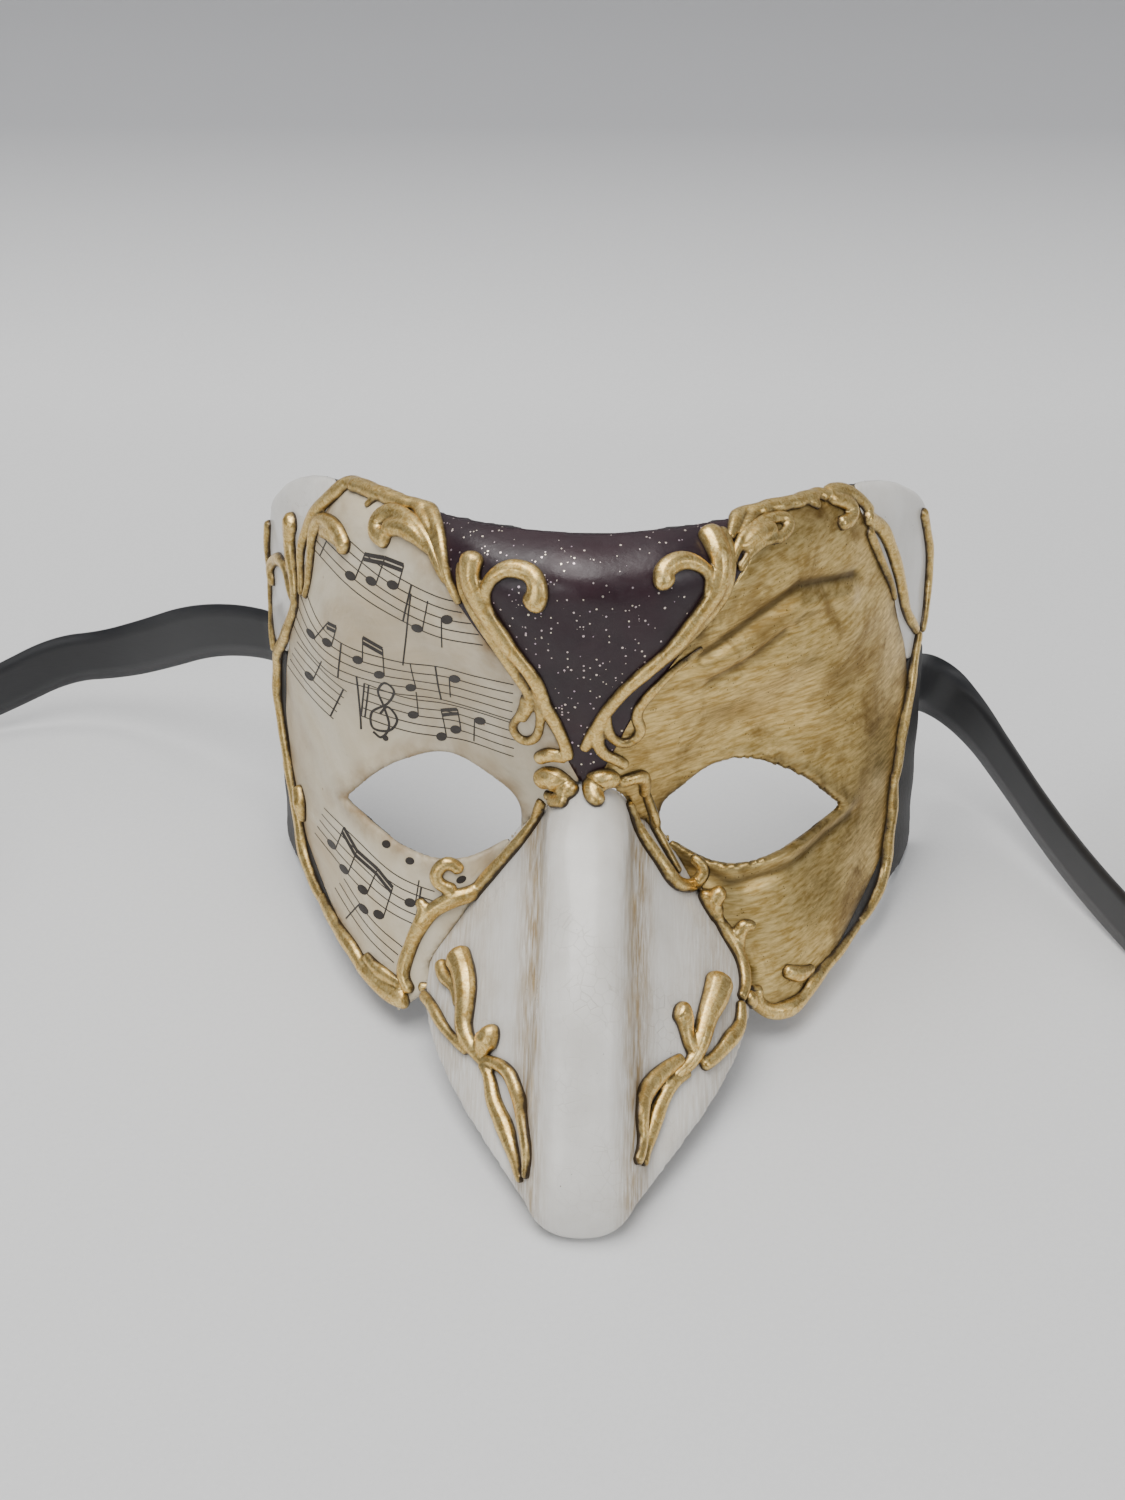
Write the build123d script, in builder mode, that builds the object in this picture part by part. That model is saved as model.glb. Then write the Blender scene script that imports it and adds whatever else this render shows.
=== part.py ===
"""A carnival half mask with a plague doctor's hooked beak, standing on its beak tip and its two rear corners.

Millimetres, +Z up, the face looking along -Y. The mask is drawn as it is worn, upright, on planes that lean back
by LEAN, because on a table the long beak tips the face up. Depths and heights in the tables are those of the worn
mask, measured from the root of the nose, with depth growing towards the back of the head.
"""

import os
from math import cos, hypot, radians, sin, tan

from build123d import *

# Driving dimensions
LEAN = 20.0  # how far the worn mask tips back when it stands on a table
NOSE_ROOT_HEIGHT = 63.2  # root of the nose above the table
NOSE_ROOT_DEPTH = -1.3  # root of the nose in front of the middle of the mask's depth
WALL = 2.4  # papier-mache
SKIN = 0.4  # pasted paper, leaf and lacquer panels
RELIEF = 2.6  # top of the gesso scrollwork
PATCH = 1.6  # cloth over the glued end of a ribbon
RIBBON_WIDTH = 15.0
RIBBON_THICK = 0.6
RIBBON_LENGTH = 450.0
FAR = 200.0  # longer than the mask in every direction

# Planes of the worn mask: level, standing in front of it, and standing at its left side
WORN = Plane(
    origin=(0, NOSE_ROOT_DEPTH, NOSE_ROOT_HEIGHT),
    x_dir=(1, 0, 0),
    z_dir=(0, sin(radians(LEAN)), cos(radians(LEAN))),
)
FRONT = Plane(origin=WORN.origin - WORN.y_dir * FAR / 2, x_dir=WORN.x_dir, z_dir=-WORN.y_dir)
SIDE = Plane(origin=WORN.origin - WORN.x_dir * FAR / 2, x_dir=WORN.y_dir, z_dir=WORN.x_dir)

# The face, section by section: worn height, then its depth at each distance out from the middle
STATIONS = (0, 16, 33, 50, 66, 80)
FACE = (
    (72, (17, 18, 22, 32, 48, 72)),
    (57, (-8, -7, 0, 15, 38, 67)),
    (50, (-18, -15, -5, 12, 35, 66)),
    (38, (-17, -14, -3, 12, 34, 66)),
    (24, (-12, -9, 2, 14, 33, 66)),
    (8, (-6, -1, 12, 21, 35, 67)),
    (-8, (-3, 8, 12, 21, 37, 69)),
    (-22, (3, 10, 8, 19, 39, 71)),
    (-40, (8, 8, 6, 15, 38, 73)),
    (-66, (8, 5, 1, 10, 36, 75)),
)
FACE_ROWS = 18  # evenly spaced sections of the loft
RIM_SPREAD = 2  # the side walls run on behind the rim, this much further out
RIM_OVERRUN = 10
FACE_SPACING = (0, 16, 34, 54, 80, 112, 122)  # distance along the surface to each station
FACE_BACK = 120  # the head form inside the face runs back to here

# The beak, section by section: crest (depth, height), half width of the crest, lower edge (out, depth, height)
BEAK = (
    ((2, 9), 7.5, (10, 14, 3)),
    ((-12, -6), 8.3, (16, 15, -14)),
    ((-25, -19), 9.0, (28, 13, -32)),
    ((-36, -33), 9.8, (37, 5, -48)),
    ((-44, -48), 10.6, (33, -12, -62)),
    ((-49, -63), 11.4, (23, -29, -71)),
    ((-52, -75), 10.8, (15, -40, -77)),
    ((-51.5, -81), 8.0, (9, -45, -82)),
    ((-50, -84), 3.5, (4, -47.5, -84.5)),
)
BEAK_SPACING = (0, 7, 13, 20, 35, 52)  # distance along a section to each of its points
SOLID_TIP_SECTIONS = 3  # the last sections of the beak, left solid

# Outlines seen from the front: (out, height)
TOP_EDGE_HALF = ((80, 42), (74, 54), (62, 60), (46, 60), (23, 58), (0, 57))
BOTTOM_EDGE = ((80, -40.5), (66, -45), (54, -51), (44, -59), (36, -52))
NOSE_OPENING = ((32, -52), (20, -32), (9, -14), (0, -8))
EYE_UPPER = ((59, -15), (51, -7), (40, 0), (29, 2), (20, -3), (15, -11))
EYE_LOWER = ((15, -11), (20, -19), (31, -22.5), (45, -20.5), (59, -15))
CENTRE_PANEL = ((39, 61), (30, 46), (19, 32), (10, 19), (4, 6), (0, -2))

# Gesso strokes of the right half seen from the front, mirrored on the left, and their round ends (out, height, radius)
STROKE = 3.4
BROW_ARCH = [((29, 42), (30, 51), (36, 58), (46, 60), (54, 57), (61, 50))]
COMMA_LEAF = [((46, 51), (41, 55), (36, 53), (33, 46))]
COMMA_END = [(45.5, 50.5, 2.6)]
FOREHEAD_SCROLL = [
    ((24, 55), (25, 44), (20, 33), (12, 22), (7, 12), (4, 3)),
    ((22, 37), (22, 44), (17, 47), (12, 44), (13, 40)),
    ((14, 24), (13, 17), (8, 10)),
]
FOREHEAD_ENDS = [(24, 55.5, 2.6), (13.5, 40.5, 2.4)]
CHEEK_BORDER = [((66, -41), (60, -45), (54, -48), (47, -53), (43, -56))]
CHEEK_ENDS = [(45, -52, 2.6)]
NOSE_SCROLL = [
    ((40, -53), (37, -44), (31, -35), (23, -28), (18, -22), (14, -14)),
    ((37, -44), (39, -37), (34, -33)),
]
NOSE_ENDS = [(34.5, -34, 2.4)]
ROOT_LEAF = [((4, -2), (6, -8), (10, -13))]
ROOT_ENDS = [(4.5, -2.5, 2.8)]
NOSTRIL_SCROLL = [
    ((29, -44), (28, -51), (26, -58), (24, -63)),
    ((35, -50), (31, -57), (25, -64)),
    ((26, -57), (23, -54.5), (20, -53)),
]
NOSTRIL_ENDS = [(29, -44, 3), (20, -53, 2.6)]
BEAK_LEAF = [((23, -60), (20, -65), (16, -70), (13, -74))]

# Gesso strokes seen from the side: (depth, height)
TEMPLE_ARCH = [((26, 53), (32, 44), (38, 34), (42, 26)), ((38, 33), (39, 41), (41, 47))]
TEMPLE_ENDS = [(41, 47, 2.6)]
CHEEK_SIDE = [((42, 26), (48, 15), (54, 0), (55, -16), (49, -31), (36, -40))]
RIM_EDGE = [((62, 52), (62.5, 38), (62.5, 26), (57, 17), (49, 13))]

# Ribbons: centre lines from inside the rim to where the loose loop starts, in the frame of the standing mask
RIGHT_RIBBON = [
    (74.5, 57, 47),
    (79, 69, 41),
    (87, 74, 34),
    (96, 70, 27),
    (104, 59, 20),
    (111, 46, 15),
    (119, 31, 11),
    (127, 16, 9),
    (136, 0, 7.5),
]
LEFT_RIBBON = [
    (-74.5, 59, 51),
    (-78.5, 70, 50),
    (-90, 77, 48),
    (-104, 85, 42),
    (-118, 93, 32),
    (-132, 99, 24),
    (-147, 101, 21),
    (-163, 97, 14),
    (-179, 91, 9),
    (-196, 84, 8),
    (-214, 77, 7.5),
    (-238, 66, 7.5),
]
LOOP_STEP = 24  # degrees between the points of a loop
LOOP_RADIUS = 57.0  # shrinking towards the free end
LOOP_SHRINK = 0.4  # for each step
RIBBON_PATCH = (57, 6, 16, 22)  # centre depth and height, length and height of the patch

# The border between the face and its sides, seen from the side: (depth, height)
SIDE_BORDER = (
    (30, 62),
    (25, 56),
    (31, 46),
    (37, 36),
    (41, 27),
    (48, 15),
    (54, 0),
    (55, -16),
    (48, -32),
    (27, -45),
    (12, -56),
)
RIM = ((62, 75), (66, 42), (66, 20), (70, -20), (73, -38), (74, -70))
TEMPLE_FOOT = 15  # height where the pearl temple gives way to the black side


def worn_point(x, depth, height):
    """A place on the worn mask, in the frame of the standing mask."""
    return WORN.origin + WORN.x_dir * x + WORN.y_dir * depth + WORN.z_dir * height


def grown(points, grow):
    """Points of a half section moved outwards, square to the line through their neighbours."""
    moved = []
    for i, (x, y) in enumerate(points):
        before = points[i - 1] if i else (-points[1][0], points[1][1])
        after = points[i + 1] if i + 1 < len(points) else (x, y)
        along = (after[0] - before[0], after[1] - before[1])
        length = hypot(*along)
        moved.append((x + grow * along[1] / length, y - grow * along[0] / length))
    return moved


def mirrored(points):
    """A half outline from outside to middle, run on to the other side."""
    other_side = [(-x, y) for x, y in reversed(points)]
    return list(points) + [p for p in other_side if p not in points]


def symmetric_spline(half, spacing):
    """A smooth curve through half a section and its mirror image, whose points sit at the same parameters in all."""
    total = 2 * spacing[-1]
    rights = [0.5 + along / total for along in spacing]
    lefts = [1 - at for at in reversed(rights[1:])]
    points = [(-x, y) for x, y in reversed(half[1:])] + list(half)
    curve = Edge.make_spline([Vector(*p) for p in points], parameters=[*lefts, *rights])
    add(curve)
    return curve


def half_section(depths, grow):
    """Half of a level section of the face, grown outwards, run on a little behind the rim."""
    points = list(zip(STATIONS, depths))
    side, depth = points[-1]
    return grown([*points, (side + RIM_SPREAD, depth + RIM_OVERRUN)], grow)


def face_rows():
    """Evenly spaced rows of depths, on smooth curves through the rows of the table."""
    heights = [height for height, _ in FACE]
    slopes = []
    for i in range(len(FACE)):
        above = FACE[max(i - 1, 0)]
        below = FACE[min(i + 1, len(FACE) - 1)]
        rise = above[0] - below[0]
        slopes.append([(a - b) / rise for a, b in zip(above[1], below[1])])
    rows = []
    for step in range(FACE_ROWS + 1):
        height = heights[0] + (heights[-1] - heights[0]) * step / FACE_ROWS
        i = max(k for k in range(len(FACE) - 1) if height <= heights[k] or k == 0)
        span = heights[i + 1] - heights[i]
        t = (height - heights[i]) / span
        depths = []
        for start, end, leave, arrive in zip(FACE[i][1], FACE[i + 1][1], slopes[i], slopes[i + 1]):
            ease = t * t * (3 - 2 * t)
            bend = span * (leave * t * (1 - t) ** 2 - arrive * t * t * (1 - t))
            depths.append(start + (end - start) * ease + bend)
        rows.append((height, depths))
    return rows


def face_layer_sections(outer, inner):
    """Level sections of one layer of the face, between two offsets of its surface."""
    sections = []
    for height, depths in face_rows():
        outside = half_section(depths, outer)
        inside = half_section(depths, inner)
        with BuildSketch(WORN.offset(height)) as section:
            with BuildLine():
                front = symmetric_spline(outside, FACE_SPACING)
                back = symmetric_spline(inside, FACE_SPACING)
                Line(front @ 0, back @ 0)
                Line(front @ 1, back @ 1)
            make_face()
        sections.append(section.sketch)
    return sections


def head_form_sections(grow):
    """Level sections of the solid form inside the face, on back to FACE_BACK."""
    sections = []
    for height, depths in face_rows():
        points = half_section(depths, grow)
        side = points[-1][0]
        with BuildSketch(WORN.offset(height)) as section:
            with BuildLine():
                front = symmetric_spline(points, FACE_SPACING)
                Polyline(front @ 1, (side, FACE_BACK), (-side, FACE_BACK), front @ 0)
            make_face()
        sections.append(section.sketch)
    return sections


def beak_sections(grow, overrun=0, leave_out=0):
    """Sections of the beak from root to tip, grown outwards, run on past its open underside by overrun."""
    sections = []
    for (depth, height), crest, (out, edge_depth, edge_height) in BEAK[: len(BEAK) - leave_out]:
        drop = hypot(edge_depth - depth, edge_height - height)
        down = WORN.y_dir * (edge_depth - depth) + WORN.z_dir * (edge_height - height)
        plane = Plane(origin=worn_point(0, depth, height), x_dir=WORN.x_dir, z_dir=WORN.x_dir.cross(down))
        shoulder = min(0.6 * crest, 0.3 * drop)
        valley = min(1.3 * crest, 0.55 * drop)
        half = [
            (0, 0),
            (0.62 * crest, 0.22 * shoulder),
            (crest, shoulder),
            (1.12 * crest, valley),
            ((1.1 * crest + out) / 2, (valley + drop) / 2),
            (out, drop),
        ]
        moved = grown(half, grow)
        low = (moved[-1][0], moved[-1][1] + overrun)
        with BuildSketch(plane) as section:
            with BuildLine():
                front = symmetric_spline(moved, BEAK_SPACING)
                if overrun:
                    Polyline(front @ 1, low, (-low[0], low[1]), front @ 0)
                else:
                    Line(front @ 1, front @ 0)
            make_face()
        sections.append(section.sketch)
    return sections


def outline_sketch():
    """The mask's outline from the front, without the opening behind the beak."""
    with BuildSketch(FRONT) as sketch:
        with BuildLine():
            top = Spline(*mirrored(TOP_EDGE_HALF))
            Polyline(top @ 1, *reversed(mirrored(BOTTOM_EDGE)), top @ 0)
        make_face()
    return sketch.sketch


def nose_opening_sketch(setback=0):
    """The opening that the beak covers, open at the bottom."""
    low = NOSE_OPENING[0][1] - FAR / 4
    with BuildSketch(FRONT) as sketch:
        with BuildLine():
            arch = Spline(*mirrored(NOSE_OPENING))
            Polyline(arch @ 1, (-NOSE_OPENING[0][0], low), (NOSE_OPENING[0][0], low), arch @ 0)
        make_face()
        if setback:
            offset(amount=setback)
    return sketch.sketch


def eyes_sketch(setback=0):
    """Both almond eye holes, pointed at their outer corners."""
    with BuildSketch(FRONT) as sketch:
        with BuildLine():
            upper = Spline(*EYE_UPPER, tangents=((-0.8, 0.6), (0, -1)))
            Spline(upper @ 1, *EYE_LOWER[1:], tangents=((0, -1), (0.93, 0.37)))
        make_face()
        mirror(about=Plane.YZ)
        if setback:
            offset(amount=setback)
    return sketch.sketch


def rim_sketch(setback=0):
    """Everything in front of the rim, seen from the side."""
    front = -FAR / 2
    points = [(depth - setback, height) for depth, height in RIM]
    with BuildSketch(SIDE) as sketch:
        with BuildLine():
            rim = Spline(*points)
            Polyline(rim @ 1, (front, points[-1][1] - FAR / 8), (front, points[0][1]), rim @ 0)
        make_face()
    return sketch.sketch


def side_sketch(behind):
    """The part of a side view behind the side border, or in front of it."""
    far_end = FAR / 2 if behind else -FAR / 2
    with BuildSketch(SIDE) as sketch:
        with BuildLine():
            border = Spline(*SIDE_BORDER)
            top = border @ 0
            low = border @ 1
            below = low.Y - FAR / 4
            above = top.Y + FAR / 4
            Polyline(low, (low.X, below), (far_end, below), (far_end, above), (top.X, above), top)
        make_face()
    return sketch.sketch


def centre_sketch():
    """The dark panel between the brows, down to the root of the nose."""
    top = CENTRE_PANEL[0]
    with BuildSketch(FRONT) as sketch:
        with BuildLine():
            sides = Spline(*mirrored(CENTRE_PANEL))
            Polyline(sides @ 1, (-top[0], FAR / 2), (top[0], FAR / 2), sides @ 0)
        make_face()
    return sketch.sketch


def finish(piece, name):
    """Label a finished piece and write its file."""
    piece.part.label = name
    export_step(piece.part, f"parts/{name}.step")
    print(f"{name}: {len(piece.part.solids())} solid(s), {piece.part.volume:.0f} mm3")


def cut_front(sketch, mode):
    """Cut or keep everything behind a sketch on the front plane."""
    extrude(to_extrude=sketch, amount=-FAR, mode=mode)


def cut_side(sketch, mode):
    """Cut or keep everything to the right of a sketch on the side plane."""
    extrude(to_extrude=sketch, amount=FAR, mode=mode)


def make_face_layer(outer, inner, setback=0):
    """One layer of the face between two offsets, trimmed to the outline, the rim, the eyes and the beak."""
    with BuildPart() as layer:
        loft(sections=face_layer_sections(outer, inner))
        cut_front(outline_sketch(), Mode.INTERSECT)
        cut_side(rim_sketch(setback), Mode.INTERSECT)
        cut_front(eyes_sketch(setback), Mode.SUBTRACT)
        cut_front(nose_opening_sketch(setback), Mode.SUBTRACT)
        loft(sections=beak_sections(0, overrun=WALL), mode=Mode.SUBTRACT)
    return layer


def make_beak_layer(outer, inner, face_offset):
    """One layer of the beak between two offsets, open below, ending where it meets the inside of the face."""
    with BuildPart() as layer:
        loft(sections=beak_sections(outer))
        inner_beak = beak_sections(inner, overrun=2 * WALL, leave_out=SOLID_TIP_SECTIONS)
        loft(sections=inner_beak, mode=Mode.SUBTRACT)
        loft(sections=head_form_sections(face_offset), mode=Mode.SUBTRACT)
    return layer


def make_skin(name, base, side_view, behind, high=None, keep_side=0):
    """A pasted or painted panel: the part of the skin layer in one region of the face."""
    with BuildPart() as panel:
        add(base.part)
        if side_view:
            cut_side(side_sketch(behind), Mode.INTERSECT)
        if high is not None:
            cut_side(height_band_sketch(high), Mode.INTERSECT)
        if keep_side:
            cut_front(half_sketch(keep_side), Mode.INTERSECT)
            cut_front(centre_sketch(), Mode.SUBTRACT)
        else:
            cut_front(centre_sketch(), Mode.INTERSECT)
    finish(panel, name)


def half_sketch(side):
    """The right half of a front view, or the left one."""
    with BuildSketch(FRONT) as sketch:
        with Locations((side * FAR / 2, 0)):
            Rectangle(FAR, FAR)
    return sketch.sketch


def height_band_sketch(high):
    """Everything above the temple foot in a side view, or everything below it."""
    middle = TEMPLE_FOOT + (FAR / 2 if high else -FAR / 2)
    with BuildSketch(SIDE) as sketch:
        with Locations((0, middle)):
            Rectangle(FAR, FAR)
    return sketch.sketch


def stroke_sketch(plane, lines, width, knobs, flip=1):
    """Strokes of one width along smooth lines, with round knobs, on the front or the side plane."""
    with BuildSketch(plane) as sketch:
        with BuildLine():
            for points in lines:
                Spline(*[(flip * across, up) for across, up in points])
        trace(line_width=width)
        for across, up, radius in knobs:
            with Locations((flip * across, up)):
                Circle(radius)
    return sketch.sketch


def make_scroll(name, base, front_lines=(), front_knobs=(), side_lines=(), side_knobs=(), side=1, width=STROKE):
    """One gesso scroll: the part of the relief layer under strokes drawn from the front and from the side."""
    with BuildPart() as scroll:
        if front_lines:
            cut_front(stroke_sketch(FRONT, front_lines, width, front_knobs, side), Mode.ADD)
        if side_lines:
            sketch = stroke_sketch(SIDE.offset(FAR / 2), side_lines, width, side_knobs)
            extrude(to_extrude=sketch, amount=side * FAR / 2)
        add(base.part, mode=Mode.INTERSECT)
    finish(scroll, name)


def with_loop(points, turn):
    """A ribbon's route with a loose loop at its end, turning left (1) or right (-1), up to its full length."""
    route = [Vector(*p) for p in points]
    heading = (route[-1] - route[-2]).normalized()
    inwards = Vector(-heading.Y, heading.X, 0).normalized() * turn
    centre = route[-1] + inwards * LOOP_RADIUS
    spoke = route[-1] - centre
    length = sum((b - a).length for a, b in zip(route, route[1:]))
    steps = 0
    while length < RIBBON_LENGTH:
        steps += 1
        size = 1 - steps * LOOP_SHRINK / LOOP_RADIUS
        route.append(centre + spoke.rotate(Axis.Z, turn * steps * LOOP_STEP) * size)
        length += (route[-1] - route[-2]).length
    return route


def corner_radii(route):
    """The radius of the arc at each corner, as large as its two runs allow."""
    radii = []
    for before, corner, after in zip(route, route[1:], route[2:]):
        turn = (corner - before).get_angle(after - corner)
        shorter = min((corner - before).length, (after - corner).length)
        radii.append(0.45 * shorter / tan(radians(turn) / 2))
    return radii


def make_ribbon(name, points, turn):
    """A satin ribbon standing on its edge, along straight runs joined by arcs."""
    route = with_loop(points, turn)
    radii = corner_radii(route)
    print(name, "radii", [round(r) for r in radii])
    with BuildPart() as ribbon:
        with BuildLine():
            line = FilletPolyline(*route, radius=radii)
        across = (line % 0).cross(Vector(0, 0, 1))
        with BuildSketch(Plane(origin=line @ 0, x_dir=across, z_dir=line % 0)):
            Rectangle(RIBBON_THICK, RIBBON_WIDTH)
        sweep(path=line, binormal=line.wire().moved(Location((0, 0, RIBBON_WIDTH))))
    finish(ribbon, name)
    section = RIBBON_WIDTH * RIBBON_THICK
    ratio = ribbon.part.volume / section / line.length
    print(name, f"length {line.length:.0f}, volume over section x length {ratio:.3f}")


os.makedirs("parts", exist_ok=True)

# Papier-mache shells
face_shell = make_face_layer(0, -WALL)
finish(face_shell, "face_shell")

beak_shell = make_beak_layer(0, -WALL, -WALL)
finish(beak_shell, "beak_shell")

# Panels on the face
skin_layer = make_face_layer(SKIN, 0)
make_skin("centre_lacquer_panel", skin_layer, side_view=False, behind=False)
make_skin("music_paper_panel", skin_layer, side_view=True, behind=False, keep_side=-1)
make_skin("gold_leaf_panel", skin_layer, side_view=True, behind=False, keep_side=1)
for side, word in ((-1, "left"), (1, "right")):
    make_skin(f"{word}_temple_panel", skin_layer, side_view=True, behind=True, high=True, keep_side=side)
    make_skin(f"{word}_side_panel", skin_layer, side_view=True, behind=True, high=False, keep_side=side)

# Gesso relief over the face, and over the beak
relief_layer = make_face_layer(RELIEF, SKIN)
with BuildPart() as beak_relief:
    loft(sections=beak_sections(RELIEF, leave_out=1))
    loft(sections=beak_sections(0, overrun=WALL), mode=Mode.SUBTRACT)
    loft(sections=head_form_sections(SKIN), mode=Mode.SUBTRACT)

for side, word in ((-1, "left"), (1, "right")):
    make_scroll(f"{word}_brow_arch", relief_layer, BROW_ARCH, [], TEMPLE_ARCH, TEMPLE_ENDS, side)
    make_scroll(f"{word}_comma_leaf", relief_layer, COMMA_LEAF, COMMA_END, side=side)
    make_scroll(f"{word}_forehead_scroll", relief_layer, FOREHEAD_SCROLL, FOREHEAD_ENDS, side=side)
    make_scroll(f"{word}_side_border", relief_layer, side_lines=CHEEK_SIDE, side=side)
    make_scroll(f"{word}_rim_border", relief_layer, side_lines=RIM_EDGE, side=side)
    make_scroll(f"{word}_cheek_border", relief_layer, CHEEK_BORDER, CHEEK_ENDS, side=side)
    make_scroll(f"{word}_nose_scroll", relief_layer, NOSE_SCROLL, NOSE_ENDS, side=side)
    make_scroll(f"{word}_root_leaf", beak_relief, ROOT_LEAF, ROOT_ENDS, side=side)
    make_scroll(f"{word}_nostril_scroll", beak_relief, NOSTRIL_SCROLL, NOSTRIL_ENDS, side=side)
    make_scroll(f"{word}_beak_leaf", beak_relief, BEAK_LEAF, side=side)

# Ribbons and the patches that hold them inside the rim
patch_layer = make_face_layer(-WALL, -WALL - PATCH)
for side, word in ((-1, "left"), (1, "right")):
    with BuildPart() as patch:
        with BuildSketch(SIDE.offset(FAR / 2)):
            with Locations(RIBBON_PATCH[:2]):
                RectangleRounded(RIBBON_PATCH[2], RIBBON_PATCH[3], 3)
        extrude(amount=side * FAR / 2)
        add(patch_layer.part, mode=Mode.INTERSECT)
    finish(patch, f"{word}_ribbon_patch")

make_ribbon("right_ribbon", RIGHT_RIBBON, turn=1)
make_ribbon("left_ribbon", LEFT_RIBBON, turn=1)
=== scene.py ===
import bpy
import bmesh
import math
import random
import numpy as np
from mathutils import Matrix, Vector
from mathutils.bvhtree import BVHTree


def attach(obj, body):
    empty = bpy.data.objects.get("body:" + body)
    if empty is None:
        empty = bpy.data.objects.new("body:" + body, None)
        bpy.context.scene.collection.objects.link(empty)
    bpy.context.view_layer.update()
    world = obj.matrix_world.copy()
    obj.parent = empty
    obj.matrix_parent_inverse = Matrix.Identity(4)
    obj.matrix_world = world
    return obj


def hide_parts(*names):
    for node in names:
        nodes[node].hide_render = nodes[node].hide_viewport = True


# %% [markdown]
# A plague doctor mask of the Venetian kind: a papier-mache half face with a hooked beak, painted and papered in four
# fields, with cast gesso scrolls glued along their edges. The CAD frame gives every piece its place; the looks are built on it.

# %% The frame and the mask's own axes
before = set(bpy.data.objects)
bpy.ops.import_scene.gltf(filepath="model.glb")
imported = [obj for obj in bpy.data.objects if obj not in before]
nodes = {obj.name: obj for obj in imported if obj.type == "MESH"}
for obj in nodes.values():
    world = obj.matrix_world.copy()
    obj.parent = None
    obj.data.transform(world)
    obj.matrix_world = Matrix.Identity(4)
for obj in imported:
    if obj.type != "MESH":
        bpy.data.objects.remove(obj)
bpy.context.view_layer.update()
random.seed(7)
LEAN = math.radians(20)
NOSE_ROOT_DEPTH, NOSE_ROOT_HEIGHT = -1.3, 63.2
MM = 0.001


def worn(x, depth, height):
    """A point of the worn mask in millimetres (across, back from the nose root, up from it), in the leaning frame."""
    y = depth * math.cos(LEAN) + height * math.sin(LEAN) + NOSE_ROOT_DEPTH
    z = height * math.cos(LEAN) - depth * math.sin(LEAN) + NOSE_ROOT_HEIGHT
    return Vector((x, y, z)) * MM


def worn_arrays(coordinates):
    """x, depth and height in millimetres of an array of points in metres."""
    x, y, z = (coordinates / MM).T
    y, z = y - NOSE_ROOT_DEPTH, z - NOSE_ROOT_HEIGHT
    return x, y * math.cos(LEAN) - z * math.sin(LEAN), y * math.sin(LEAN) + z * math.cos(LEAN)


# %% [markdown]
# The mask lies chin up on a table and is seen from above its brow, from about half a metre away.

# %% Camera
forward = Vector((-0.0399, 0.7870, -0.6157)).normalized()
level = forward.cross(Vector((0, 0, 1))).normalized()
upright = level.cross(forward)
roll = math.radians(-1)
right = level * math.cos(roll) + upright * math.sin(roll)
up = right.cross(forward)
camera_data = bpy.data.cameras.new("camera")
camera_data.lens = 50
camera_data.sensor_width = 36
camera = bpy.data.objects.new("camera", camera_data)
camera.matrix_world = Matrix.Translation((0.0124, -0.3565, 0.3496)) @ Matrix((right, up, -forward)).transposed().to_4x4()
bpy.context.collection.objects.link(camera)
bpy.context.scene.camera = camera


# %% Small helpers for meshes and materials
def new_object(name, mesh):
    piece = bpy.data.objects.new(name, mesh)
    bpy.context.collection.objects.link(piece)
    return piece


def piece_from(bm, name, material, replaced=(), smooth=True):
    """A finished piece that rides the frame's only body."""
    mesh = bpy.data.meshes.new(name)
    bm.to_mesh(mesh)
    bm.free()
    mesh.polygons.foreach_set("use_smooth", [smooth] * len(mesh.polygons))
    mesh.materials.append(material)
    piece = new_object(name, mesh)
    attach(piece, "root")
    if replaced:
        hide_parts(*replaced)
    print(name, len(mesh.vertices), "vertices")
    return piece


def set_attribute(mesh, name, values):
    attribute = mesh.attributes.new(name, "FLOAT", "POINT")
    attribute.data.foreach_set("value", np.asarray(values, np.float32))


def coordinates_of(mesh):
    flat = np.zeros(len(mesh.vertices) * 3, np.float32)
    mesh.vertices.foreach_get("co", flat)
    return flat.reshape(-1, 3).astype(float)


def normals_of(mesh):
    flat = np.zeros(len(mesh.vertices) * 3, np.float32)
    mesh.vertex_normals.foreach_get("vector", flat)
    return flat.reshape(-1, 3).astype(float)


def remeshed(meshes, voxel, rounds):
    """The meshes as one even skin: welded by a voxel remesh, then smoothed."""
    bm = bmesh.new()
    for mesh in meshes:
        bm.from_mesh(mesh)
    bmesh.ops.remove_doubles(bm, verts=bm.verts, dist=1e-6)
    mesh = bpy.data.meshes.new("rough")
    bm.to_mesh(mesh)
    bm.free()
    helper = new_object("helper", mesh)
    modifier = helper.modifiers.new("remesh", "REMESH")
    modifier.mode = "VOXEL"
    modifier.voxel_size = voxel
    bpy.context.view_layer.update()
    even = bpy.data.meshes.new_from_object(helper.evaluated_get(bpy.context.evaluated_depsgraph_get()))
    bpy.data.objects.remove(helper)
    bm = bmesh.new()
    bm.from_mesh(even)
    for _ in range(rounds):
        bmesh.ops.smooth_vert(bm, verts=bm.verts, factor=0.5, use_axis_x=True, use_axis_y=True, use_axis_z=True)
    bmesh.ops.recalc_face_normals(bm, faces=bm.faces)
    bm.to_mesh(even)
    bm.free()
    return even


def spread_over(mesh, values, rounds):
    """Values of a mesh's vertices, averaged with their neighbours' over some rounds."""
    edges = np.zeros(len(mesh.edges) * 2, np.int32)
    mesh.edges.foreach_get("vertices", edges)
    edges = edges.reshape(-1, 2)
    for _ in range(rounds):
        total, number = np.zeros(values.shape), np.zeros(len(values))
        for a, b in ((0, 1), (1, 0)):
            np.add.at(total, edges[:, a], values[edges[:, b]])
            np.add.at(number, edges[:, a], 1)
        number = number if values.ndim == 1 else number[:, None]
        values = 0.5 * values + 0.5 * total / number
    return values


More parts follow.
